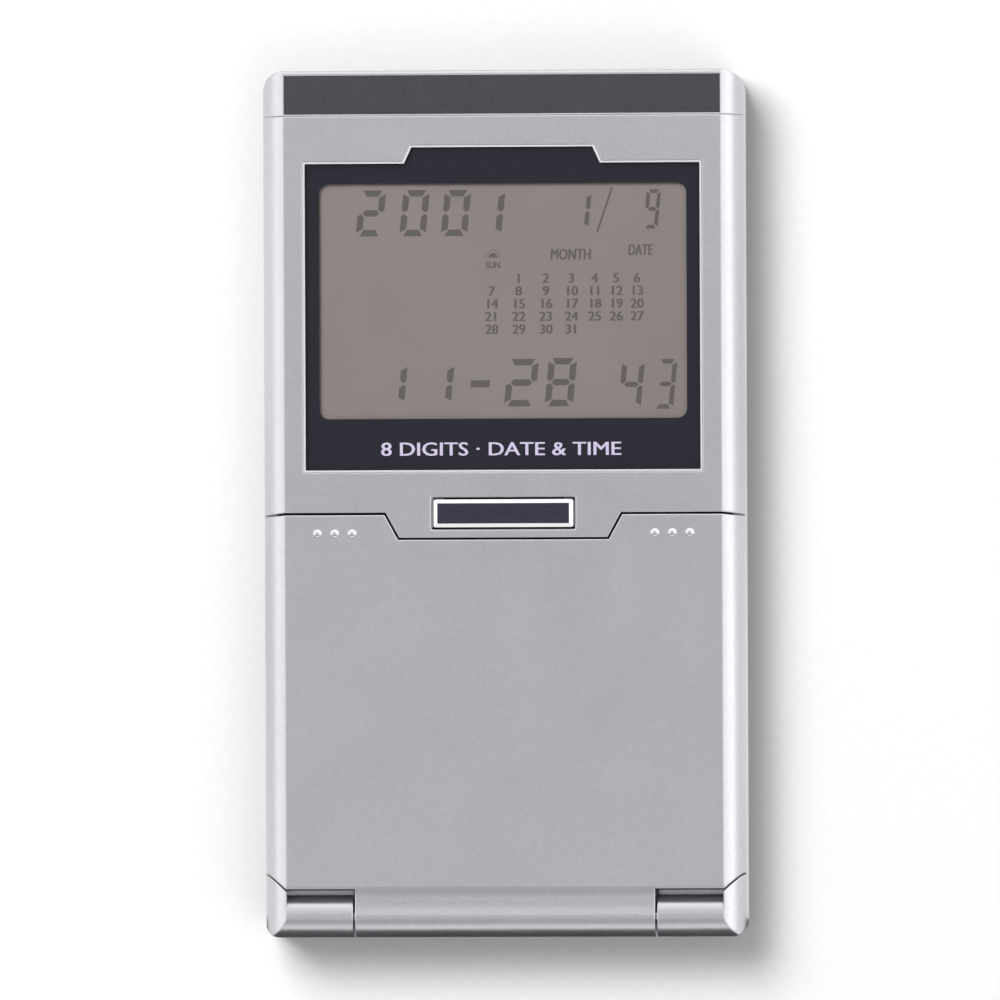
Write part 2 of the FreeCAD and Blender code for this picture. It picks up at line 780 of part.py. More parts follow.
def lcd_parts():
    front = box("front_glass", wide("glass_half"), (LEDGE_Y, GLASS_END), (GLASS_MID, GLASS_TOP))
    rear = box("rear_glass", wide("glass_half"), (GLASS_START, GLASS_END), (GLASS_LOW, GLASS_MID))
    keep("lcd_panel", join("lcd_panel", [front, rear]))
    keep("lcd_reflector", box("lcd_reflector", wide("glass_half - holder_bar - fit"),
                              (f"{GLASS_START} + fit", f"{GLASS_END} - holder_bar - fit"),
                              (f"{GLASS_LOW} - backing", GLASS_LOW)))
    slot_low = f"({LEDGE_Y} + 0.2)"
    zebra_y = (slot_low, f"{slot_low} + zebra_thick")
    keep("zebra_strip", box("zebra_strip", wide("zebra_half"), zebra_y, (BOARD_TOP, GLASS_MID)))
    ring = box("holder_ring", wide("glass_half"), (HOLDER_LOW, GLASS_END), (BOX_TOP, GLASS_LOW))
    opening = box("holder_opening", wide("glass_half - holder_bar"),
                  (GLASS_START, f"{GLASS_END} - holder_bar"), ("0", "thickness"))
    slot = box("zebra_slot", wide("zebra_half + running"),
               (f"{slot_low} - running", f"{slot_low} + zebra_thick + running"), ("0", "thickness"))
    legs = [box("holder_leg", sided(side, "glass_half - holder_bar", "glass_half - 0.6"),
                (f"{VIEW_LOW} + 3", f"{VIEW_LOW} + 7"), (BOARD_TOP, f"{BOX_TOP} + 0.2"))
            for side in (-1, 1)]
    cut_ring = less("holder_cut", ring, [opening, slot])
    keep("lcd_holder", join("lcd_holder", [cut_ring] + legs))


def board_parts():
    low = f"({DECK_LOW} + edge_wall + 0.3)"
    keep("circuit_board", box("circuit_board", wide(BOARD_HALF), (low, BOARD_END),
                              (BOARD, BOARD_TOP)))
    keep("chip_blob", cone("chip_blob", "z", ("0", "-12", f"{BOARD} - blob_thick"), "blob_top",
                           "blob_foot", "blob_thick"))
    keep("clock_crystal", rod("clock_crystal", "x", ("9", "4", f"{BOARD} - crystal_radius"),
                              "crystal_radius", "crystal_length"))
    chips = []
    for number in (1, 2, 3):
        left = f"-{number} * chip_pitch"
        chips.append(box("capacitor", (left, f"{left} + chip_length"), ("4", "4 + chip_width"),
                         (f"{BOARD} - chip_thick", BOARD)))
    group("capacitors", chips)


def key_places():
    """Each key's name and its middle, row by row from the display end."""
    for row, names in enumerate(KEY_ROWS):
        for column, name in enumerate(names):
            yield name, f"{column - 2} * key_pitch_x", f"{KEYPAD_Y} + {2 - row} * key_pitch_y"


def around(middle, half):
    return f"{middle} - ({half})", f"{middle} + ({half})"


def keypad_deck():
    """The panel that the keys come through, with the bearing of the latch at its display end."""
    plate = box("deck_plate", wide(DECK_HALF), (DECK_LOW, DECK_HIGH), (RIM, DECK_TOP))
    hanging = bosses("deck_boss", LOW_SCREWS, "hanging_radius", BOSS_TOP, f"{RIM} + 0.1")
    cuts = [box("key_hole", around(x, "key_width / 2 + key_play"), around(y, "key_depth / 2 + key_play"),
                ("0", "thickness")) for _, x, y in key_places()]
    cuts.append(box("hook_slot", wide("nose_half + nose_play"), (f"{HOOK_BACK} - 0.5", f"{TIP_Y} + 2"),
                    ("0", "thickness")))
    cuts.append(box("leg_slot", wide("leg_outer + 0.6"), (f"{TIP_Y} + 1", "1"), ("0", "thickness")))
    cuts += bosses("mid_notch", [MID_SCREW], "boss_radius + loose", "0", "thickness")
    cuts += screw_pilots(LOW_SCREWS)
    return keep("keypad_deck", less("keypad_deck", join("deck_body", [plate] + hanging), cuts))


def keypad_membrane():
    """A rubber sheet with one hollow dome under each key."""
    sheet_top = f"({BOARD_TOP} + membrane)"
    dome_top = f"({RIM} - 2 * fit - flange_thick)"
    low = f"({DECK_LOW} + edge_wall + 0.5)"
    base = box("membrane_sheet", wide(f"{BOARD_HALF} - 0.3"), (low, f"{KEYPAD_Y} + 2.6 * key_pitch_y"),
               (BOARD_TOP, sheet_top))
    domes = []
    rooms = []
    for _, x, y in key_places():
        height = f"{dome_top} - {BOARD_TOP}"
        domes.append(cone("dome", "z", (x, y, BOARD_TOP), "dome_foot", "dome_top", height))
        rooms.append(cone("dome_room", "z", (x, y, BOARD_TOP), "dome_foot - dome_skin",
                          "dome_top - dome_skin", f"{height} - 0.6"))
    body = join("membrane_body", [base] + domes)
    return keep("keypad_membrane", less("keypad_membrane", body, rooms))


def keys():
    for name, x, y in key_places():
        top = f"({DECK_TOP} + key_height)"
        foot = f"({RIM} - fit - flange_thick)"
        stem = box("key_stem", around(x, "key_width / 2"), around(y, "key_depth / 2"), (foot, top))
        corners = eased("key_corners", stem, "key_round", upright)
        cap = eased("key_cap", corners, "key_edge", on_top)
        brim = box("key_brim", around(x, "key_width / 2 + key_flange"),
                   around(y, "key_depth / 2 + key_flange"), (foot, f"{foot} + flange_thick"))
        keep(f"key_{name}", join(f"key_{name}", [cap, brim]))


def flip_cover(form):
    region = parting("cover_side", "-seam / 2", False, f"-{END} - 1", f"{RIM} + seam",
                     "thickness + 1")
    outer = shared("cover_outer", [form, region])
    room_low = f"({AXIS_Y} + hinge_clear + edge_wall)"
    room = hollow("cover_room", "cover_wall", room_low, END)
    inner_plan = parting("cover_plan", "-seam / 2 - edge_wall", False, f"-{END}", "0", "thickness")
    inner = shared("cover_inner", [room, inner_plan])
    over_deck = box("over_deck", wide(f"{HALF} - rim_wall"), (f"-{END} - 1", END),
                    ("0", f"{DECK_TOP} + seam"))
    behind = box("behind_axis", wide(f"{HALF} + 1"), (f"-{END} - 1", AXIS_Y), ("0", "thickness + 1"))
    clear = rod("hinge_room", "x", (f"-{CREASE}", AXIS_Y, AXIS_Z), "hinge_clear", f"2 * {CREASE}")
    flares = [
        cone("ear_room", outward(side), (f"{side} * {CREASE}", AXIS_Y, AXIS_Z), "hinge_clear",
             "hinge_clear + ear_flare * 4 / 3", "strip_width * 4 / 3")
        for side in (-1, 1)
    ]
    nose_room = box("nose_room", wide("nose_half + nose_play"),
                    (f"{HOOK_BACK} - nose_play", f"{TIP_Y} + 1"), ("0", COVER_UNDER))
    shell = less("cover_shell", outer, [inner, over_deck, behind, clear, nose_room] + flares)
    barrel = rod("knuckle", "x", ("-knuckle_half", AXIS_Y, AXIS_Z), "barrel_radius", "2 * knuckle_half")
    web = box("knuckle_web", wide("knuckle_half"), (AXIS_Y, f"{room_low} - 0.2"),
              (COVER_UNDER, "thickness"))
    body = join("cover_body", [shell, barrel, web])
    cuts = [pin_hole(side, "pin_radius + running", "pin_inner - 0.5", "knuckle_half + 1")
            for side in (-1, 1)]
    cuts.append(rod("coil_chamber", "x", ("coil_start - 0.5", AXIS_Y, AXIS_Z), "coil_room",
                    "coil_length + 1"))
    cuts += [rod("stud_hole", "z", (x, y, "0"), "stud_pin", "thickness + 1") for x, y in stud_places()]
    cuts.append(rod("valley", "x", (f"-{HALF} - 1", f"{AXIS_Y} + valley_inset",
                                    "thickness + valley_radius - valley_depth"),
                    "valley_radius", f"2 * {HALF} + 2"))
    return keep("flip_cover", less("flip_cover", body, cuts))


def cover_catch():
    """The hook under the cover's free edge, on a pad that is welded to the cover."""
    half = wide("nose_half - 0.4")
    low = f"{RIM} + 0.2"
    pad = box("catch_pad", half, (f"{HOOK_BACK} - pad_reach", HOOK_BACK),
              (f"{COVER_UNDER} - pad_thick", COVER_UNDER))
    stem = box("catch_stem", half, (HOOK_BACK, HOOK_FACE), (low, COVER_UNDER))
    tip = box("catch_tip", half, (HOOK_FACE, f"{HOOK_FACE} + hook_room"), (low, f"{LATCH_LOW} - fit"))
    return keep("cover_catch", join("cover_catch", [pad, stem, tip]))


def stud_places():
    for side in (-1, 1):
        for number in range(3):
            yield f"{side} * (stud_first + {number} * stud_pitch)", f"{SEAM_Y} - stud_inset"


def grip_studs():
    """Six domes, each on a pin that fills its hole in the cover."""
    studs = []
    for x, y in stud_places():
        ball_radius = "((stud_radius ^ 2 + stud_rise ^ 2) / (2 * stud_rise))"
        ball = new("Part::Sphere", "stud_ball")
        bind(ball, "Radius", ball_radius)
        place(ball, "z", (x, y, f"thickness + stud_rise - {ball_radius}"))
        above = box("stud_above", around(x, "1"), around(y, "1"), ("thickness", "thickness + 1"))
        dome = shared("stud_dome", [ball, above])
        pin = rod("stud_pin", "z", (x, y, COVER_UNDER), "stud_pin", "cover_wall + stud_rise / 2")
        studs.append(join("stud", [dome, pin]))
    return group("grip_studs", studs)


def coil(label, axis, at, radius, wire, length, turns):
    """A helical spring of round wire that starts at a point and runs along +X, +Y or +Z."""
    pitch = (length - 2 * wire) / turns
    helix = Part.makeHelix(pitch, pitch * turns, radius)
    start = FreeCAD.Vector(radius, 0, 0)
    along = FreeCAD.Vector(0, 2 * math.pi * radius, pitch)
    section = Part.Wire(Part.makeCircle(wire, start, along))
    shape = Part.Wire(helix.Edges).makePipeShell([section], True, True)
    obj = new("Part::Feature", label)
    obj.Shape = shape
    offset = TURNS[axis].multVec(FreeCAD.Vector(0, 0, wire))
    obj.Placement = FreeCAD.Placement(FreeCAD.Vector(*at) + offset, TURNS[axis])
    return keep(label, obj)


def value(text):
    """The number that an expression stands for, read back from a scratch point."""
    probe = new("Part::Box", "probe")
    bind(probe, "Placement.Base.x", text)
    probe.recompute()
    number = probe.Placement.Base.x
    doc.removeObject(probe.Name)
    return number


def cover_spring():
    start = (sheet.get("coil_start"), value(AXIS_Y), value(AXIS_Z))
    coil("cover_spring", "x", start, sheet.get("coil_radius"), sheet.get("coil_wire"),
         sheet.get("coil_length"), 7)


def hinge_pins():
    pins = []
    for side in (-1, 1):
        low, high = sided(side, "pin_inner", "pin_outer")
        pins.append(rod("hinge_pin", "x", (low, AXIS_Y, AXIS_Z), "pin_radius", f"({high}) - ({low})"))
    return group("hinge_pins", pins)


RAMP_Y = f"({BUTTON_Y} + ramp_inset)"


def button_bevel():
    """A block that is the bar's own outline up to its bevel, and slopes in by the bevel above that."""
    level = "(thickness + button_proud - bevel_drop)"
    taper = new("Part::Wedge", "button_taper")
    across = {"Xmin": "-button_half", "Xmax": "button_half", "Zmin": "-button_depth / 2",
              "Zmax": "button_depth / 2", "Ymin": level, "Ymax": "thickness + button_proud",
              "X2min": "button_bevel - button_half", "X2max": "button_half - button_bevel",
              "Z2min": "button_bevel - button_depth / 2", "Z2max": "button_depth / 2 - button_bevel"}
    for prop, text in across.items():
        bind(taper, prop, text)
    taper.Placement = FreeCAD.Placement(FreeCAD.Vector(), FreeCAD.Rotation(FreeCAD.Vector(1, 0, 0), 90))
    bind(taper, "Placement.Base.y", BUTTON_Y)
    below = box("button_lower", wide("button_half + 1"), around(BUTTON_Y, "button_depth"), ("0", level))
    return join("button_form", [taper, below])


def release_button():
    """A plated bar with a lug at each end and two wedge legs that push the latch back as it goes down."""
    low = f"({BUTTON_Y} - button_depth / 2)"
    high = f"({BUTTON_Y} + button_depth / 2)"
    foot = f"({FACE_UNDER} - fit - button_flange)"
    lifted = f"({LATCH_TOP} + press + fit)"
    bar = box("button_bar", wide("button_half"), (low, high), (foot, "thickness + button_proud"))
    corners = shared("button_bevelled", [eased("button_corners", bar, "button_round", upright),
                                         button_bevel()])
    flange = box("button_flange", wide("flange_half"), (low, f"{high} + flange_reach"),
                 (foot, f"{foot} + button_flange"))
    over_latch = box("over_latch", wide("latch_half + loose"), (f"{low} - 1", f"{high} + 1"), ("0", lifted))
    body = less("button_body", join("button_solid", [corners, flange]), [over_latch])
    legs = []
    for side in (-1, 1):
        wedge = [
            (f"{RAMP_Y} - leg_depth", f"{LATCH_LOW} + fit"),
            (f"{RAMP_Y} - ({foot} - {LATCH_LOW}) - 0.05", f"{LATCH_LOW} + fit"),
            (f"{RAMP_Y} - 0.15", foot),
            (f"{RAMP_Y} - 0.15", f"{lifted} + 0.2"),
            (f"{RAMP_Y} - leg_depth", f"{lifted} + 0.2"),
        ]
        legs.append(prism("button_leg", "YZ", wedge, *sided(side, "leg_inner", "leg_outer")))
    return keep("release_button", join("release_button", [body] + legs))


def latch_slide():
    """A plate whose nose holds the cover's hook, with a ramp for each leg of the button."""
    plate = box("latch_plate", wide("latch_half"), (f"{TIP_Y} + seam / 2 + edge_wall + fit", LATCH_BACK),
                (LATCH_LOW, LATCH_TOP))
    nose = box("latch_nose", wide("nose_half"), (f"{HOOK_FACE} + hook_play", f"{TIP_Y} + 3"),
               (LATCH_LOW, LATCH_TOP))
    notches = []
    foot = f"({FACE_UNDER} - fit - button_flange)"
    for side in (-1, 1):
        ramp = [
            (f"{TIP_Y} - 1", f"{LATCH_LOW} - 1"),
            (f"{RAMP_Y} - ({foot} - {LATCH_LOW}) - 1", f"{LATCH_LOW} - 1"),
            (f"{RAMP_Y} + 1", f"{foot} + 1"),
            (f"{TIP_Y} - 1", f"{foot} + 1"),
        ]
        stretch = sided(side, "leg_inner - loose", "latch_half + 1")
        notches.append(prism("leg_notch", "YZ", ramp, *stretch))
    body = join("latch_body", [plate, nose])
    return keep("latch_slide", less("latch_slide", body, notches))


def latch_spring():
    back_y = value(LATCH_BACK)
    length = value(SPRING_RIB) - back_y
    middle_z = value(f"({LATCH_LOW} + latch_thick / 2)")
    coil("latch_spring", "y", (0, back_y, middle_z), sheet.get("latch_coil"),
         sheet.get("latch_wire"), length, 6)


def battery_parts():
    xs = [f"{side} * (cell_radius + cell_gap)" for side in (-1, 1)]
    cells = [rod("button_cell", "z", (x, CELL_Y, CELL_LOW), "cell_radius", "cell_height") for x in xs]
    group("button_cells", cells)
    leaves = [box("leaf_contact", around(x, "leaf_half_width"), around(CELL_Y, "leaf_half_length"),
                  (CELL_TOP, ROOF)) for x in xs]
    group("battery_top_contacts", leaves)
    keep("battery_side_contact", box("battery_side_contact", wide(f"{BOX_HALF} - 0.4"),
                                     (f"{CELL_FAR} + 0.05", f"{CELL_FAR} + contact + 0.05"),
                                     (f"{CELL_LOW} + 0.3", CELL_TOP)))


def battery_door(form):
    """A door that slides off past the display end on two side tongues."""
    slab = box("door_slab", wide(BOX_HALF), (f"{BOX_LOW} + fit", END), (BACK, f"{BACK} + door_thick"))
    groove_low = f"({BACK} + tongue_rise)"
    tongues = box("door_tongues", wide(f"{BOX_HALF} + door_tongue"),
                  (f"{BOX_LOW} + fit", f"{END} - 2.5"), (groove_low, f"{groove_low} + tongue_thick"))
    grooves = []
    for number in range(4):
        near = f"({END} - thumb_inset - {number} * thumb_pitch)"
        grooves.append(box("thumb_groove", wide("thumb_half"), (near, f"{near} + thumb_width"),
                           ("0", f"{BACK} + thumb_depth")))
    body = shared("door_form", [join("door_solid", [slab, tongues]), form])
    return keep("battery_door", less("battery_door", body, grooves))


def case_screws():
    screws = []
    for y in ALL_SCREWS:
        for side in (-1, 1):
            x = f"{side} * {SCREW_X}"
            shank = rod("shank", "z", (x, y, f"{SEAT} - 0.1"), "screw_radius", "screw_length + 0.1")
            head = rod("head", "z", (x, y, f"{SEAT} - head_thick"), "head_radius", "head_thick")
            slots = [box("driver_slot", around(x, across), around(y, along),
                         ("0", f"{SEAT} - head_thick + driver_depth"))
                     for across, along in (("driver_half", "driver_wing"), ("driver_wing", "driver_half"))]
            screws.append(less("screw", join("screw_solid", [shank, head]), slots))
    return group("case_screws", screws)


def build():
    fill_sheet()
    form = envelope()
    rear_case(form)
    rubber_feet()
    display_case(form)
    end_cap(form)
    solar_parts()
    display_window()
    lcd_parts()
    board_parts()
    keypad_deck()
    keypad_membrane()
    keys()
    flip_cover(form)
    cover_catch()
    grip_studs()
    cover_spring()
    hinge_pins()
    release_button()
    latch_slide()
    latch_spring()
    battery_parts()
    battery_door(form)
    case_screws()
    doc.recompute()


def check():
    """Stop before anything is written if an object failed or a piece isn't sound."""
    for obj in doc.Objects:
        if "Invalid" in obj.State or "Error" in obj.State:
            raise SystemExit(f"{obj.Name} failed: {obj.State}")
    labels = [obj.Label for obj in pieces]
    if len(set(labels)) != len(labels):
        raise SystemExit("two pieces share a label")
    for obj in pieces:
        if obj.Shape.isNull() or not obj.Shape.isValid() or not obj.Shape.Solids:
            raise SystemExit(f"{obj.Label} isn't a valid solid")


def write():
    os.makedirs("parts", exist_ok=True)
    for obj in pieces:
        obj.Shape.exportStep(f"parts/{obj.Label}.step")
        print(f"{obj.Label}: {len(obj.Shape.Solids)} solids, {obj.Shape.Volume:.1f} mm3")


build()
check()
write()
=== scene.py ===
"""Looks of a pocket calendar calculator with a flip cover, lying on its back.

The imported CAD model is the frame: +Z points out of the face, +Y to the display end, in metres.
Sizes below are in millimetres, and are turned into metres where a mesh is made.
"""

import json
import math

import bmesh
import bpy
from mathutils import Matrix, Vector


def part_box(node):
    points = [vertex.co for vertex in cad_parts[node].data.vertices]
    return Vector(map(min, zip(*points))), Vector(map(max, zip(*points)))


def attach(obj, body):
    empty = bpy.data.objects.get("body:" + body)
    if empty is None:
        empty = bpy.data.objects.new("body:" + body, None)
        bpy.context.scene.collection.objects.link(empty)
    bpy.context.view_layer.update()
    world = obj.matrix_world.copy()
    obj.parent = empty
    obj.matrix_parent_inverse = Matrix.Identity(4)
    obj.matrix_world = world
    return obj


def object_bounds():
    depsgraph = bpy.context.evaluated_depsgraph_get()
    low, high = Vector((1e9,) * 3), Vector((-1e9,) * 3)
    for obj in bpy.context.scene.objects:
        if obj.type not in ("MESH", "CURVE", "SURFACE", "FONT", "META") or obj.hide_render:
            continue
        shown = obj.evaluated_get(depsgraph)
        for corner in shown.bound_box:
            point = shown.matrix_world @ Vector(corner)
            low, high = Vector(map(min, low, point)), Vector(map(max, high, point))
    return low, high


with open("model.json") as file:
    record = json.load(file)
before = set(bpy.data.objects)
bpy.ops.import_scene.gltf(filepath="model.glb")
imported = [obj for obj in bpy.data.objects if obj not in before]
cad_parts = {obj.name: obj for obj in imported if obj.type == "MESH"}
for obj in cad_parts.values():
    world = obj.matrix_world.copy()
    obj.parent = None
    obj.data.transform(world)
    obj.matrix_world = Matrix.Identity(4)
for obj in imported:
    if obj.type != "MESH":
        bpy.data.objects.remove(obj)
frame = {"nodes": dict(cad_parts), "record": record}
NODES = frame["nodes"]
CAD_LOW, CAD_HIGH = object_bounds()
MM = 0.001


def reach(node):
    """The lowest and highest corner of a CAD node, in millimetres."""
    low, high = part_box(node)
    return low / MM, high / MM


FACE_Z = reach("display_case")[1].z
WINDOW_LOW, WINDOW_HIGH = reach("display_window")
LCD_TOP = reach("lcd_panel")[1].z

# The clear part of the window, the black print round it, the painted highlight rim on its edge and the
# tab at its top
VIEW = {"half": 24.4, "low": WINDOW_LOW.y + 6.9, "high": WINDOW_LOW.y + 38.1, "corner": 1.3}
PRINT_THICK = 0.02
PRINT_INSET = 0.02
RIM_HIGHLIGHT_THICK = 0.01
RIM_HIGHLIGHT_OUT = 0.14
RIM_HIGHLIGHT_IN = 0.1
TAB = {"base": 13.1, "top": 12.1, "height": 2.15}
LIFT = 0.01  # how far the window's print and the display's film lie above what carries them
INK_THICK = 0.012
CAP_HEIGHT = 0.729  # of the built-in font's size
BOLD_LIFT = 0.004
EDGE = 0.3  # how far in from an edge the painted mouldings are rounded, and how wide the painted highlight along their edges is
FINE_EDGE = 0.08  # the same on the small pieces

# The light tent is a ball round the calculator, in metres. Its brightness changes from floor level
# to its crown, and from the front to the back.
TENT_RADIUS = 2.5
BY_HEIGHT = ((0.0, 1.35), (0.25, 1.5), (0.45, 1.25), (0.64, 1.08), (0.8, 0.8), (0.9, 0.7), (1.0, 0.73))
FRONT_TO_BACK = ((0.0, 0.75), (0.1, 0.7), (0.2, 0.42), (0.33, 0.45), (0.42, 1.0), (0.55, 1.0),
                 (0.7, 0.9), (1.0, 0.95))
ASIDE = 0.12  # how much brighter it is at the right than in the middle
AMBIENT = 0.2  # the weak light from all sides
FLOOR_HALF = 4.0

# Each lamp's place and size in metres, and its energy
LAMPS = {"key_light": ((-0.34, 0.4, 0.82), 0.55, 9.9), "fill_light": ((0.42, -0.4, 0.75), 0.7, 2.4)}

# The camera stands this many metres from its aim, leans to the right and takes in this width
CAMERA_AIM = (-0.42, 0.5, FACE_Z)
CAMERA_DISTANCE = 1.6
CAMERA_LEAN = math.radians(3.0)
CAMERA_ROLL = math.radians(-0.24)
FRAME_WIDTH = 132.5


# ---------------------------------------------------------------- materials


class Finish:
    """A material under construction: short calls that add nodes and link them."""

    def __init__(self, name):
        self.material = bpy.data.materials.new(name)
        self.material.use_nodes = True
        self.tree = self.material.node_tree
        self.tree.nodes.clear()
        self.place = self.add("ShaderNodeTexCoord").outputs["Object"]

    def add(self, kind, inputs=(), **settings):
        node = self.tree.nodes.new(kind)
        for name, value in settings.items():
            setattr(node, name, value)
        for name, value in dict(inputs).items():
            self.feed(node.inputs[name], value)
        return node

    def feed(self, socket, value):
        if isinstance(value, bpy.types.NodeSocket):
            self.tree.links.new(value, socket)
        else:
            socket.default_value = value

    def noise(self, size, stretch=(1, 1, 1), detail=3.0):
        """Noise whose features are about `size` millimetres, longer where the stretch is larger."""
        scale = [1 / part for part in stretch]
        mapped = self.add("ShaderNodeMapping", {"Vector": self.place, "Scale": scale})
        texture = self.add("ShaderNodeTexNoise", {"Vector": mapped.outputs["Vector"],
                                                  "Scale": 1 / (size * MM), "Detail": detail})
        return texture.outputs["Fac"]

    def ranged(self, value, low, high, start=0.3, end=0.7):
        """The value's stretch from start to end, spread from low to high."""
        inputs = {"Value": value, "From Min": start, "From Max": end, "To Min": low, "To Max": high}
        return self.add("ShaderNodeMapRange", inputs).outputs["Result"]

    def ramp(self, value, *stops):
        """Colours along a value, each stop a place and a colour."""
        node = self.add("ShaderNodeValToRGB", {"Fac": value})
        elements = node.color_ramp.elements
        while len(elements) < len(stops):
            elements.new(0.5)
        for element, (place, colour) in zip(elements, stops):
            element.position = place
            element.color = (*colour, 1)
        return node.outputs["Color"]

    def product(self, first, second):
        node = self.add("ShaderNodeMath", operation="MULTIPLY")
        self.feed(node.inputs[0], first)
        self.feed(node.inputs[1], second)
        return node.outputs["Value"]

    def blend(self, share, first, second):
        """The first colour, turning into the second as the share goes from 0 to 1."""
        node = self.add("ShaderNodeMix", {"Factor": share}, data_type="RGBA")
        sockets = {socket.identifier: socket for socket in (*node.inputs, *node.outputs)}
        self.feed(sockets["A_Color"], first)
        self.feed(sockets["B_Color"], second)
        return sockets["Result_Color"]

    def layered(self, share, under, over):
        """Two shaders, of which the second takes the share."""
        node = self.add("ShaderNodeMixShader", {"Fac": share})
        self.feed(node.inputs[1], under)
        self.feed(node.inputs[2], over)
        return node.outputs["Shader"]

    def bump(self, height, depth, normal=None):
        """A relief of `depth` millimetres."""
        inputs = {"Height": height, "Distance": depth * MM, "Strength": 1.0}
        if normal is not None:
            inputs["Normal"] = normal
        return self.add("ShaderNodeBump", inputs).outputs["Normal"]

    def soft_edges(self, radius):
        """Normals that turn round each edge, as on a moulding's broken edges."""
        node = self.add("ShaderNodeBevel", {"Radius": radius * MM}, samples=6)
        return node.outputs["Normal"]

    def rubbed_edges(self, radius):
        """How near an edge a point is: 0 on open surfaces, 1 where the normal turns most; the mask of
        the painted edge highlight.
        """
        turned = self.soft_edges(radius)
        flat = self.add("ShaderNodeNewGeometry").outputs["Normal"]
        both = self.add("ShaderNodeVectorMath", operation="DOT_PRODUCT")
        self.feed(both.inputs[0], turned)
        self.feed(both.inputs[1], flat)
        return self.ranged(both.outputs["Value"], 1, 0, 0.75, 0.98)

    def surface(self, **inputs):
        """A Principled surface; its input names are written with underscores for spaces."""
        node = self.add("ShaderNodeBsdfPrincipled")
        for name, value in inputs.items():
            self.feed(node.inputs[name.replace("_", " ")], value)
        return node.outputs["BSDF"]

    def done(self, shader):
        self.add("ShaderNodeOutputMaterial", {"Surface": shader})
        return self.material


def colour(grey, tint=(1, 1, 1)):
    return tuple(grey * part for part in tint)


def plain(name, dark, light, rough, grain=0.25, relief=0.004, **extra):
    """A moulded surface: fine mottling in its colour, its gloss and its relief."""
    made = Finish(name)
    speck = made.noise(grain)
    cloud = made.noise(grain * 20)
    normal = made.bump(speck, relief, made.soft_edges(FINE_EDGE))
    base = made.ramp(speck, (0.3, dark), (0.7, light))
    gloss = made.ranged(cloud, rough - 0.05, rough + 0.05)
    return made.done(made.surface(Base_Color=base, Roughness=gloss, Normal=normal, **extra))


def drawn_metal(name, dark, light, rough, along=(12, 1, 1), grain=0.12):
    """Metal with fine lines along one axis."""
    made = Finish(name)
    lines = made.noise(grain, along, 4.0)
    normal = made.bump(lines, 0.002)
    base = made.ramp(lines, (0.3, dark), (0.7, light))
    gloss = made.ranged(lines, rough - 0.07, rough + 0.07)
    return made.done(made.surface(Base_Color=base, Roughness=gloss, Normal=normal, Metallic=1.0))


def silver_paint():
    """Metallic paint: flakes in a satin coat, turning white along its edges as a painted highlight."""
    made = Finish("silver_paint")
    flakes = made.noise(0.16, detail=2.0)
    mottle = made.noise(0.55, detail=2.0)
    both = made.add("ShaderNodeMath", operation="ADD")
    made.feed(both.inputs[0], flakes)
    made.feed(both.inputs[1], mottle)
    base = made.ramp(made.ranged(both.outputs[0], 0, 1, 0.7, 1.3),
                     (0.0, colour(0.7, (1, 0.99, 1.04))), (1.0, colour(0.76, (1, 0.99, 1.04))))
    # Painted highlight: the base colour turns white near the edges, standing in for light caught on the
    # rounded edges.
    painted_edge_highlight = made.blend(made.rubbed_edges(EDGE), base, (1.0, 1.0, 1.0, 1.0))
    normal = made.bump(flakes, 0.003, made.soft_edges(EDGE))
    gloss = made.ranged(made.noise(9.0), 0.31, 0.34)
    return made.done(made.surface(Base_Color=painted_edge_highlight, Roughness=gloss, Normal=normal, Metallic=0.94))


def chrome():
    """Bright plating, slightly wavy, with hairline wear."""
    made = Finish("chrome")
    waves = made.noise(1.6, (6, 1, 1), 1.5)
    hairs = made.noise(0.1, (30, 1, 1))
    normal = made.bump(waves, 0.006, made.soft_edges(0.05))
    base = made.ramp(hairs, (0.3, colour(0.80, (1, 1, 1.03))), (0.7, colour(0.90, (1, 1, 1.02))))
    gloss = made.ranged(hairs, 0.05, 0.1)
    return made.done(made.surface(Base_Color=base, Roughness=gloss, Normal=normal, Metallic=1.0))


def clear_acrylic():
    """A clear sheet: what lies under it shows through, with the gloss of its polished top."""
    made = Finish("clear_window")
    smear = made.noise(6.0, (1, 3, 1))
    gloss = made.ranged(smear, 0.02, 0.05)
    top = made.surface(Base_Color=(*colour(0.02), 1), Roughness=gloss, IOR=1.49)
    clear = (*colour(0.97), 1)
    through = made.add("ShaderNodeBsdfTransparent", {"Color": clear}).outputs["BSDF"]
    edge_on = made.add("ShaderNodeFresnel", {"IOR": 1.49}).outputs["Fac"]
    leaving = made.add("ShaderNodeNewGeometry").outputs["Backfacing"]
    share = made.product(edge_on, made.ranged(leaving, 1, 0, 0, 1))
    return made.done(made.layered(share, through, top))


def smoked_acrylic():
    """A dark violet-grey sheet that lets only a little of the solar cell show."""
    made = Finish("smoked_window")
    speck = made.noise(0.4)
    base = made.ramp(speck, (0.3, (0.056, 0.054, 0.067)), (0.7, (0.062, 0.060, 0.074)))
    gloss = made.ranged(made.noise(5.0), 0.16, 0.24)
    top = made.surface(Base_Color=base, Roughness=gloss, IOR=1.49)
    through = made.add("ShaderNodeBsdfTransparent", {"Color": (0.5, 0.46, 0.5, 1)}).outputs["BSDF"]
    return made.done(made.layered(made.ranged(speck, 0.84, 0.9), through, top))


def lcd_glass():
    """The display's grey-brown film, matt, with the faint grain of its polariser."""
    made = Finish("lcd_glass")
    grain = made.noise(0.3, (1, 4, 1))
    cloud = made.noise(14.0)
    shade = made.ramp(cloud, (0.3, (0.246, 0.212, 0.201)), (0.7, (0.262, 0.226, 0.214)))
    normal = made.bump(grain, 0.001)
    gloss = made.ranged(grain, 0.42, 0.5)
    return made.done(made.surface(Base_Color=shade, Roughness=gloss, Normal=normal, IOR=1.45))


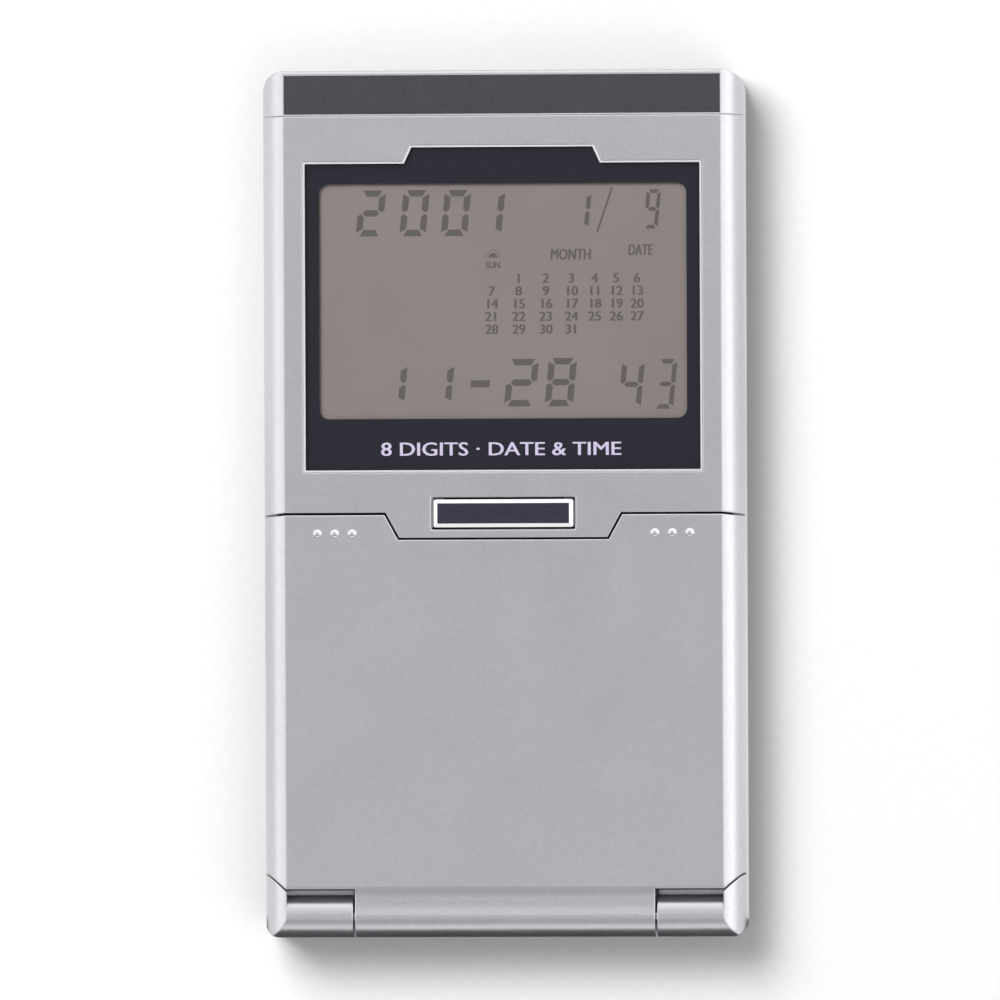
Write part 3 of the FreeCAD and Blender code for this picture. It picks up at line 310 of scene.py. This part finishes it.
def solar_glass():
    """Amorphous silicon on glass: a brown-violet sheet parted into cells by thin lines."""
    made = Finish("solar_glass")
    parted = made.add("ShaderNodeSeparateXYZ", {"Vector": made.place}).outputs["X"]
    wrapped = made.add("ShaderNodeMath", operation="PINGPONG")
    made.feed(wrapped.inputs[0], parted)
    wrapped.inputs[1].default_value = 6.9 * MM
    line = made.ranged(wrapped.outputs[0], 1, 0, 0.0, 0.12 * MM)
    body = made.noise(0.5, (1, 8, 1))
    base = made.ramp(made.ranged(line, 0.0, 1.0, 0.2, 0.8), (0.0, (0.05, 0.037, 0.05)),
                     (1.0, (0.12, 0.09, 0.09)))
    gloss = made.ranged(body, 0.12, 0.2)
    return made.done(made.surface(Base_Color=base, Roughness=gloss, Coat_Weight=0.4))


def circuit_board():
    """Green solder mask over copper tracks."""
    made = Finish("board")
    tracks = made.add("ShaderNodeTexBrick", {"Vector": made.place, "Scale": 90.0, "Mortar Size": 0.012,
                                             "Color1": (0.02, 0.12, 0.05, 1),
                                             "Color2": (0.025, 0.15, 0.06, 1),
                                             "Mortar": (0.05, 0.24, 0.1, 1)})
    normal = made.bump(tracks.outputs["Fac"], -0.02)
    gloss = made.ranged(made.noise(0.5), 0.25, 0.4)
    return made.done(made.surface(Base_Color=tracks.outputs["Color"], Roughness=gloss, Normal=normal))


def zebra_rubber():
    """Layers of conducting and plain rubber, seen as fine stripes."""
    made = Finish("zebra_rubber")
    stripes = made.add("ShaderNodeTexWave", {"Vector": made.place, "Scale": 900.0, "Distortion": 0.3})
    base = made.ramp(stripes.outputs["Fac"], (0.45, (0.05, 0.04, 0.04)), (0.55, (0.5, 0.32, 0.36)))
    gloss = made.ranged(made.noise(0.3), 0.55, 0.7)
    return made.done(made.surface(Base_Color=base, Roughness=gloss))


MATERIALS = {
    "silver_paint": silver_paint(),
    "chrome": chrome(),
    "clear_window": clear_acrylic(),
    "smoked_window": smoked_acrylic(),
    "lcd_glass": lcd_glass(),
    "solar_glass": solar_glass(),
    "board": circuit_board(),
    "zebra_rubber": zebra_rubber(),
    "reflector_film": plain("reflector_film", colour(0.42), colour(0.5), 0.7),
    "holder_plastic": plain("holder_plastic", colour(0.6), colour(0.68, (1, 1, 0.97)), 0.5),
    "epoxy": plain("epoxy", colour(0.012), colour(0.02), 0.2, grain=0.8, relief=0.02),
    "ceramic_chip": plain("ceramic_chip", (0.28, 0.2, 0.13), (0.36, 0.27, 0.18), 0.45),
    "deck_plastic": plain("deck_plastic", colour(0.035), colour(0.055, (1, 1, 1.08)), 0.5, 0.18, 0.012),
    "silicone": plain("silicone", colour(0.5), colour(0.58, (1, 1, 0.96)), 0.55,
                      Subsurface_Weight=0.2, Subsurface_Radius=(0.002, 0.002, 0.002)),
    "key_plastic": plain("key_plastic", colour(0.46), colour(0.52, (1, 1, 1.03)), 0.38, 0.15, 0.006),
    "accent_key": plain("accent_key", colour(0.025), colour(0.04, (1, 1, 1.15)), 0.36, 0.15, 0.006),
    "latch_plastic": plain("latch_plastic", colour(0.02), colour(0.03), 0.35),
    "foot_rubber": plain("foot_rubber", colour(0.018), colour(0.03), 0.75, 0.3, 0.02),
    "lead_copper": plain("lead_copper", (0.3, 0.02, 0.02), (0.4, 0.035, 0.03), 0.4, 0.6),
    "can_metal": drawn_metal("can_metal", colour(0.5), colour(0.62), 0.25),
    "spring_steel": drawn_metal("spring_steel", colour(0.4), colour(0.52), 0.3, (1, 1, 1), 0.08),
    "pin_steel": drawn_metal("pin_steel", colour(0.5), colour(0.6), 0.22),
    "battery_steel": drawn_metal("battery_steel", colour(0.55), colour(0.66, (1, 1, 0.97)), 0.2,
                                 (1, 1, 1), 0.5),
    "contact_metal": drawn_metal("contact_metal", colour(0.5, (1, 0.95, 0.75)),
                                 colour(0.62, (1, 0.95, 0.75)), 0.28),
    "screw_steel": drawn_metal("screw_steel", colour(0.2), colour(0.28), 0.35, (1, 1, 1), 0.2),
}


def dress_nodes():
    """Every CAD node gets the finish of its slot."""
    for part in frame["record"]["subparts"]:
        mesh = NODES[part["node"]].data
        mesh.materials.clear()
        mesh.materials.append(MATERIALS[part["material_slot"]])


# ---------------------------------------------------------------- flat shapes and lettering


def keep_mesh(name, mesh, material, body):
    """A mesh as a piece that rides on a CAD body."""
    mesh.materials.clear()
    mesh.materials.append(material)
    piece = bpy.data.objects.new(name, mesh)
    bpy.context.scene.collection.objects.link(piece)
    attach(piece, body)
    return piece


def filled(loops, z, thick):
    """A thin sheet between two heights with these outlines, inner ones as holes, in millimetres."""
    curve = bpy.data.curves.new("sheet", "CURVE")
    curve.dimensions = "2D"
    curve.fill_mode = "BOTH"
    curve.extrude = thick / 2 * MM
    for loop in loops:
        spline = curve.splines.new("POLY")
        spline.points.add(len(loop) - 1)
        for point, (x, y) in zip(spline.points, loop):
            point.co = (x * MM, y * MM, 0, 1)
        spline.use_cyclic_u = True
    return baked(curve, (0, 0, (z + thick / 2) * MM))


def baked(curve, at, scale=(1, 1, 1)):
    """The mesh of a curve or a text, put in its place."""
    holder = bpy.data.objects.new("holder", curve)
    bpy.context.scene.collection.objects.link(holder)
    bpy.context.view_layer.update()
    seen = holder.evaluated_get(bpy.context.evaluated_depsgraph_get())
    mesh = bpy.data.meshes.new_from_object(seen)
    mesh.transform(Matrix.Translation(at) @ Matrix.Diagonal((*scale, 1)))
    bpy.data.objects.remove(holder)
    bpy.data.curves.remove(curve)
    return mesh


def joined(name, meshes):
    """Several meshes as one."""
    whole = bmesh.new()
    for mesh in meshes:
        whole.from_mesh(mesh)
        bpy.data.meshes.remove(mesh)
    made = bpy.data.meshes.new(name)
    whole.to_mesh(made)
    whole.free()
    return made


def word(text, x, y, height, z, width=None, lean=0.0, bold=0.0):
    """A text of one cap height, centred on a point, and as wide as asked for, in millimetres.

    Bold strokes come from a second copy, a little to the side and a little higher.
    """
    curve = bpy.data.curves.new("word", "FONT")
    curve.body = text
    curve.size = height / CAP_HEIGHT * MM
    curve.align_x = "CENTER"
    curve.align_y = "BOTTOM_BASELINE"
    curve.extrude = INK_THICK / 2 * MM
    curve.shear = lean
    curve.resolution_u = 3
    stretch = 1.0
    if width is not None:
        probe = bpy.data.objects.new("probe", curve)
        bpy.context.scene.collection.objects.link(probe)
        bpy.context.view_layer.update()
        stretch = width * MM / probe.dimensions.x
        bpy.data.objects.remove(probe)
    at = Vector((x - bold / 2, y - height / 2, z + INK_THICK / 2)) * MM
    letters = baked(curve, at, (stretch, 1, 1))
    if not bold:
        return letters
    second = letters.copy()
    second.transform(Matrix.Translation(Vector((bold, 0, BOLD_LIFT)) * MM))
    return joined("word", [letters, second])


def rounded(half, low, high, radius, steps=8):
    """A rectangle with round corners, anticlockwise."""
    points = []
    corners = ((half, high, 0), (-half, high, 90), (-half, low, 180), (half, low, 270))
    for x, y, turn in corners:
        cx = math.copysign(abs(x) - radius, x)
        cy = y - radius if y == high else y + radius
        for step in range(steps + 1):
            angle = math.radians(turn + 90 * step / steps)
            points.append((cx + radius * math.cos(angle), cy + radius * math.sin(angle)))
    return points


# ---------------------------------------------------------------- the window's print


def ink(name, dark, light, rough):
    """Screen-printed ink: dense, with a faint unevenness."""
    made = Finish(name)
    speck = made.noise(0.2)
    base = made.ramp(speck, (0.3, dark), (0.7, light))
    gloss = made.ranged(made.noise(1.5), rough, rough + 0.1)
    return made.done(made.surface(Base_Color=base, Roughness=gloss))


def window_outline(inset):
    """The window's edge, moved inwards by a distance."""
    half = WINDOW_HIGH.x - inset
    low = WINDOW_LOW.y + inset
    top = WINDOW_HIGH.y - TAB["height"] - inset
    tab_top = WINDOW_HIGH.y - inset
    base = TAB["base"] - inset
    crown = TAB["top"] - inset
    return [(-half, low), (half, low), (half, top), (base, top), (crown, tab_top),
            (-crown, tab_top), (-base, top), (-half, top)]


LETTERING = "8 DIGITS · DATE & TIME"
LETTERING_X = -0.3
LETTERING_HEIGHT = 1.85
LETTERING_WIDTH = 31.8
LETTERING_DROP = 0.5  # how far it lies below the middle of the lower band


def window_print():
    """Black print under the window, open over the display, with a line of lettering on it, and a pale
    rim on the window's edge that is a painted highlight.
    """
    z = WINDOW_LOW.z + LIFT
    opening = rounded(VIEW["half"], VIEW["low"], VIEW["high"], VIEW["corner"])
    black = ink("black_print", (0.006, 0.006, 0.014), (0.008, 0.008, 0.017), 0.3)
    sheet = filled([window_outline(PRINT_INSET), opening], z, PRINT_THICK)
    keep_mesh("window_print", sheet, black, "case")
    pale = ink("pale_print", (0.56, 0.5, 0.68), (0.66, 0.58, 0.78), 0.5)
    line_y = (WINDOW_LOW.y + VIEW["low"]) / 2 - LETTERING_DROP
    text = word(LETTERING, LETTERING_X, line_y, LETTERING_HEIGHT, z + PRINT_THICK, LETTERING_WIDTH,
                bold=0.1)
    keep_mesh("window_lettering", text, pale, "case")
    # Painted highlight: a pale grey ring on the window's edge stands in for light caught on its rim.
    rim_highlight = ink("window_rim_highlight", (0.55, 0.55, 0.57), (0.66, 0.66, 0.68), 0.35)
    highlight_rim = filled([window_outline(-RIM_HIGHLIGHT_OUT), window_outline(RIM_HIGHLIGHT_IN)], WINDOW_HIGH.z, RIM_HIGHLIGHT_THICK)
    keep_mesh("window_rim_highlight", highlight_rim, rim_highlight, "case")


# ---------------------------------------------------------------- the display's content

SEGMENTS = {"0": "abcdef", "1": "bc", "2": "abged", "3": "abgcd", "4": "fgbc", "8": "abcdefg",
            "9": "abcdfg"}
LEAN = 0.1
GAP = 0.11


def digit(figure, x, y, width, height, bar, gap=GAP):
    """Seven-segment outlines of a figure whose lower left corner is at a point."""
    middle = height / 2
    nip = bar * 0.45
    shapes = {
        "a": [(nip + gap, height), (bar + gap, height - bar), (width - bar - gap, height - bar),
              (width - nip - gap, height)],
        "b": [(width, height - nip - gap), (width - bar, height - bar - gap),
              (width - bar, middle + nip + gap), (width - nip, middle + gap), (width, middle + nip)],
        "g": [(bar * 0.6 + gap, middle), (bar + gap * 1.6, middle + bar / 2),
              (width - bar - gap * 1.6, middle + bar / 2), (width - bar * 0.6 - gap, middle),
              (width - bar - gap * 1.6, middle - bar / 2), (bar + gap * 1.6, middle - bar / 2)],
    }
    shapes["c"] = [(px, height - py) for px, py in shapes["b"]]
    shapes["d"] = [(px, height - py) for px, py in shapes["a"]]
    shapes["e"] = [(width - px, height - py) for px, py in shapes["b"]]
    shapes["f"] = [(width - px, py) for px, py in shapes["b"]]
    return [[(x + px + LEAN * py, y + py) for px, py in shapes[name]] for name in SEGMENTS[figure]]


def sun_sign(x, y, radius):
    """A half sun over its horizon, with short rays."""
    disc = [(x + radius * math.cos(math.radians(a)), y + radius * math.sin(math.radians(a)))
            for a in range(0, 181, 15)]
    loops = [disc]
    ray_half, ray_start, ray_end = (radius * share for share in (0.09, 1.35, 1.8))
    for angle in range(10, 171, 20):
        along = Vector((math.cos(math.radians(angle)), math.sin(math.radians(angle))))
        across = Vector((-along.y, along.x)) * ray_half
        near = Vector((x, y)) + along * ray_start
        far = Vector((x, y)) + along * ray_end
        loops.append([tuple(near - across), tuple(far - across), tuple(far + across),
                      tuple(near + across)])
    return loops


SUN_X = -1.3
SUN_DROP = 9.85
SUN_RADIUS = 0.62
COLUMNS = (-1.5, 2.1, 5.7, 9.1, 12.2, 15.05, 17.8)
FIRST_ROW = 12.55
ROW_PITCH = 1.69
DAY_HEIGHT = 1.3
YEAR = (("2", -19.55), ("0", -13.75), ("0", -8.25), ("1", -3.7))
# The month and the day beside the year: left edge, width, height, bar and gap of each figure
MONTH_AND_DAY = (("1", 9.25, 2.1, 4.9, 0.6, 0.1), ("9", 18.65, 1.9, 5.2, 0.5, 0.08))
# The clock: left edge, width, rise above the view's lower edge, height and bar of each figure
LOWER_ROW = (("1", -16.8, 3.6, 1.9, 5.5, 0.85), ("1", -10.6, 3.6, 1.9, 5.5, 0.85),
             ("2", 0.05, 4.1, 1.6, 6.3, 0.85), ("8", 5.45, 3.75, 1.6, 6.4, 0.85),
             ("4", 15.2, 3.0, 1.3, 6.3, 0.7), ("3", 19.9, 2.6, 1.2, 6.6, 0.62))
# Each label's middle, measured down from the view's upper edge, its height and width, lean and weight
LABELS = (("SUN", SUN_X, 10.8, 0.9, 1.9, 0.0, 0.08), ("MONTH", 9.0, 9.4, 1.5, 5.3, 0.06, 0.1),
          ("DATE", 18.25, 8.85, 1.5, 3.15, 0.06, 0.1))


def calendar(top):
    """The month's days in seven columns: each day's text with its place."""
    for day in range(1, 32):
        row, column = divmod(day, len(COLUMNS))
        yield str(day), COLUMNS[column], top - row * ROW_PITCH


def display_content():
    """What the display shows: figures, labels and the month's calendar, as thin dark marks."""
    z = LCD_TOP + LIFT
    top = VIEW["high"]
    base = VIEW["low"]
    loops = []
    for figure, x in YEAR:
        loops += digit(figure, x, top - 6.95, 3.5, 6.1, 0.85)
    for figure, x, width, height, bar, gap in MONTH_AND_DAY:
        loops += digit(figure, x, top - 6.1, width, height, bar, gap)
    slash = [(12.42, top - 6.5), (12.68, top - 6.5), (14.65, top - 0.65), (14.4, top - 0.65)]
    dash = [(-4.4, base + 4.15), (-1.85, base + 4.15), (-1.75, base + 5.1), (-4.3, base + 5.1)]
    loops += [slash, dash]
    for figure, x, width, rise, height, bar in LOWER_ROW:
        loops += digit(figure, x, base + rise, width, height, bar)
    loops += sun_sign(SUN_X, top - SUN_DROP, SUN_RADIUS)
    marks = [filled(loops, z, INK_THICK)]
    for text, x, down, height, width, lean, bold in LABELS:
        marks.append(word(text, x, top - down, height, z, width, lean, bold))
    for day, x, y in calendar(top - FIRST_ROW):
        marks.append(word(day, x, y, DAY_HEIGHT, z, bold=0.12))
    film = ink("lcd_marks", (0.104, 0.094, 0.092), (0.114, 0.103, 0.101), 0.5)
    keep_mesh("lcd_marks", joined("lcd_marks", marks), film, "case")


# ---------------------------------------------------------------- the keys' legends

LEGENDS = {
    "mode": "MODE", "memory_recall": "MR", "memory_subtract": "M−", "memory_add": "M+",
    "clear": "C", "seven": "7", "eight": "8", "nine": "9", "divide": "÷",
    "square_root": "√", "four": "4", "five": "5", "six": "6", "multiply": "×",
    "percent": "%", "one": "1", "two": "2", "three": "3", "subtract": "−", "sign": "+/−",
    "zero": "0", "point": ".", "equals": "=", "add": "+", "all_clear": "AC",
}
SIGN_HEIGHT = 2.6
WORD_HEIGHT = 1.6
LEGEND_LIFT = 0.002


def key_legends():
    """Each key's legend, printed on its top: dark on a light key and pale on a dark one."""
    dark = ink("dark_legend", (0.02, 0.02, 0.025), (0.03, 0.03, 0.035), 0.4)
    pale = ink("pale_legend", (0.7, 0.7, 0.7), (0.8, 0.8, 0.8), 0.4)
    slots = {part["node"]: part["material_slot"] for part in frame["record"]["subparts"]}
    for name, text in LEGENDS.items():
        node = f"key_{name}"
        low, high = reach(node)
        middle = (low + high) / 2
        height = SIGN_HEIGHT if len(text) == 1 else WORD_HEIGHT
        mesh = word(text, middle.x, middle.y, height, high.z + LEGEND_LIFT, bold=0.06)
        paint = pale if slots[node] == "accent_key" else dark
        keep_mesh(f"legend_{name}", mesh, paint, node)


# ---------------------------------------------------------------- studio


def reflected_only(name, mesh, glow):
    """A part of the studio that only reflections see, as a flag or a white board would be."""
    mesh.materials.append(glow)
    card = bpy.data.objects.new(name, mesh)
    bpy.context.scene.collection.objects.link(card)
    card.visible_camera = False
    card.visible_diffuse = False
    card.visible_shadow = False
    card.visible_transmission = False


def studio_card(name, corners, shade):
    """A flat card of one shade, faintly uneven, with its corners in metres."""
    mesh = bpy.data.meshes.new(name)
    mesh.from_pydata([Vector(c) for c in corners], [], [(0, 1, 2, 3)])
    made = Finish(name)
    tone = made.ramp(made.noise(60.0), (0.3, [part * 0.85 for part in shade]),
                     (0.7, [part * 1.15 for part in shade]))
    glow = made.add("ShaderNodeEmission", {"Color": tone, "Strength": 1.0}).outputs["Emission"]
    reflected_only(name, mesh, made.done(glow))


def level_card(name, across, along, height, shade):
    """A level card over a stretch in x and one in y."""
    corners = [(across[0], along[0], height), (across[1], along[0], height),
               (across[1], along[1], height), (across[0], along[1], height)]
    studio_card(name, corners, shade)


def tent():
    """The light tent as reflections see it: bright round the sides, greyer above, brightest behind."""
    mesh = bpy.data.meshes.new("tent")
    shape = bmesh.new()
    bmesh.ops.create_uvsphere(shape, u_segments=48, v_segments=24, radius=TENT_RADIUS)
    shape.to_mesh(mesh)
    shape.free()
    made = Finish("tent_cloth")
    parted = made.add("ShaderNodeSeparateXYZ", {"Vector": made.place})
    height = made.ranged(parted.outputs["Z"], 0, 1, 0, TENT_RADIUS)
    tone = made.ramp(height, *((place, colour(level, (1, 1, 1.01))) for place, level in BY_HEIGHT))
    along = made.ranged(parted.outputs["Y"], 0, 1, -TENT_RADIUS, TENT_RADIUS)
    behind = made.ramp(along, *((place, colour(level)) for place, level in FRONT_TO_BACK))
    aside = made.ranged(parted.outputs["X"], 1 - ASIDE, 1 + ASIDE, -TENT_RADIUS, TENT_RADIUS)
    strength = made.product(behind, aside)
    glow = made.add("ShaderNodeEmission", {"Color": tone, "Strength": strength})
    reflected_only("tent", mesh, made.done(glow.outputs["Emission"]))


def floor():
    """Pale paper, wide enough to fill the frame from any side."""
    mesh = bpy.data.meshes.new("floor")
    side = FLOOR_HALF
    mesh.from_pydata([(-side, -side, 0), (side, -side, 0), (side, side, 0), (-side, side, 0)], [],
                     [(0, 1, 2, 3)])
    made = Finish("floor_paper")
    shade = made.ramp(made.noise(1.2), (0.3, colour(0.86)), (0.7, colour(0.88)))
    mesh.materials.append(made.done(made.surface(Base_Color=shade, Roughness=0.9)))
    sheet = bpy.data.objects.new("floor", mesh)
    bpy.context.scene.collection.objects.link(sheet)


def surround():
    """An even, weak light from all sides."""
    world = bpy.data.worlds.new("surround")
    world.use_nodes = True
    tree = world.node_tree
    tree.nodes.clear()
    light = tree.nodes.new("ShaderNodeBackground")
    light.inputs["Color"].default_value = (AMBIENT, AMBIENT, AMBIENT * 1.01, 1)
    out = tree.nodes.new("ShaderNodeOutputWorld")
    tree.links.new(light.outputs["Background"], out.inputs["Surface"])
    bpy.context.scene.world = world


def lamp(name, place, size, energy):
    """A soft square light that faces the calculator and isn't seen in its reflections."""
    data = bpy.data.lights.new(name, "AREA")
    data.energy = energy
    data.size = size
    made = bpy.data.objects.new(name, data)
    made.location = place
    made.rotation_mode = "QUATERNION"
    made.rotation_quaternion = (-made.location).to_track_quat("-Z", "Y")
    made.visible_glossy = False
    bpy.context.scene.collection.objects.link(made)


def studio():
    """A pale floor, a soft surround, a key and a fill light, and what the reflections see."""
    floor()
    surround()
    for name, (place, size, energy) in LAMPS.items():
        lamp(name, place, size, energy)
    tent()
    level_card("lens_side", (-0.13, 0.05), (-0.09, 0.09), 0.9, (0.05, 0.045, 0.07))
    studio_card("front_flag", [(-0.5, -0.2, 0.0), (0.5, -0.2, 0.0), (0.5, -0.2, 0.05),
                               (-0.5, -0.2, 0.05)], colour(0.02))
    edge = CAD_HIGH.x * 5
    level_card("floor_card", (-edge, edge), (-edge, edge), 0.0008, colour(0.8))
    front = CAD_LOW.y
    # Painted shade: a dark sheet on the floor in front, seen only in reflections, stands in for the
    # floor's shadow under the front end.
    studio_card("reflected_floor_shade", [(-0.06, front - 0.2, 0.001), (0.06, front - 0.2, 0.001),
                               (0.04, front + 0.002, 0.001), (-0.04, front + 0.002, 0.001)],
                colour(0.02))


def camera():
    """Above the calculator, a little to its right, as the photograph was taken."""
    aim = Vector(CAMERA_AIM) * MM
    back = Vector((math.sin(CAMERA_LEAN), 0, math.cos(CAMERA_LEAN)))
    right = Vector((0, 1, 0)).cross(back).normalized()
    up = back.cross(right)
    turn = Matrix((right, up, back)).transposed().to_4x4() @ Matrix.Rotation(CAMERA_ROLL, 4, "Z")
    data = bpy.data.cameras.new("camera")
    data.sensor_width = 36.0
    data.lens = data.sensor_width * CAMERA_DISTANCE / (FRAME_WIDTH * MM)
    data.clip_start = 0.01
    data.clip_end = 20.0
    made = bpy.data.objects.new("camera", data)
    made.matrix_world = Matrix.Translation(aim + back * CAMERA_DISTANCE) @ turn
    bpy.context.scene.collection.objects.link(made)
    bpy.context.scene.camera = made


camera()
studio()
dress_nodes()
window_print()
display_content()
key_legends()
bpy.context.scene.view_settings.view_transform = "Standard"
bpy.context.scene.cycles.caustics_reflective = False
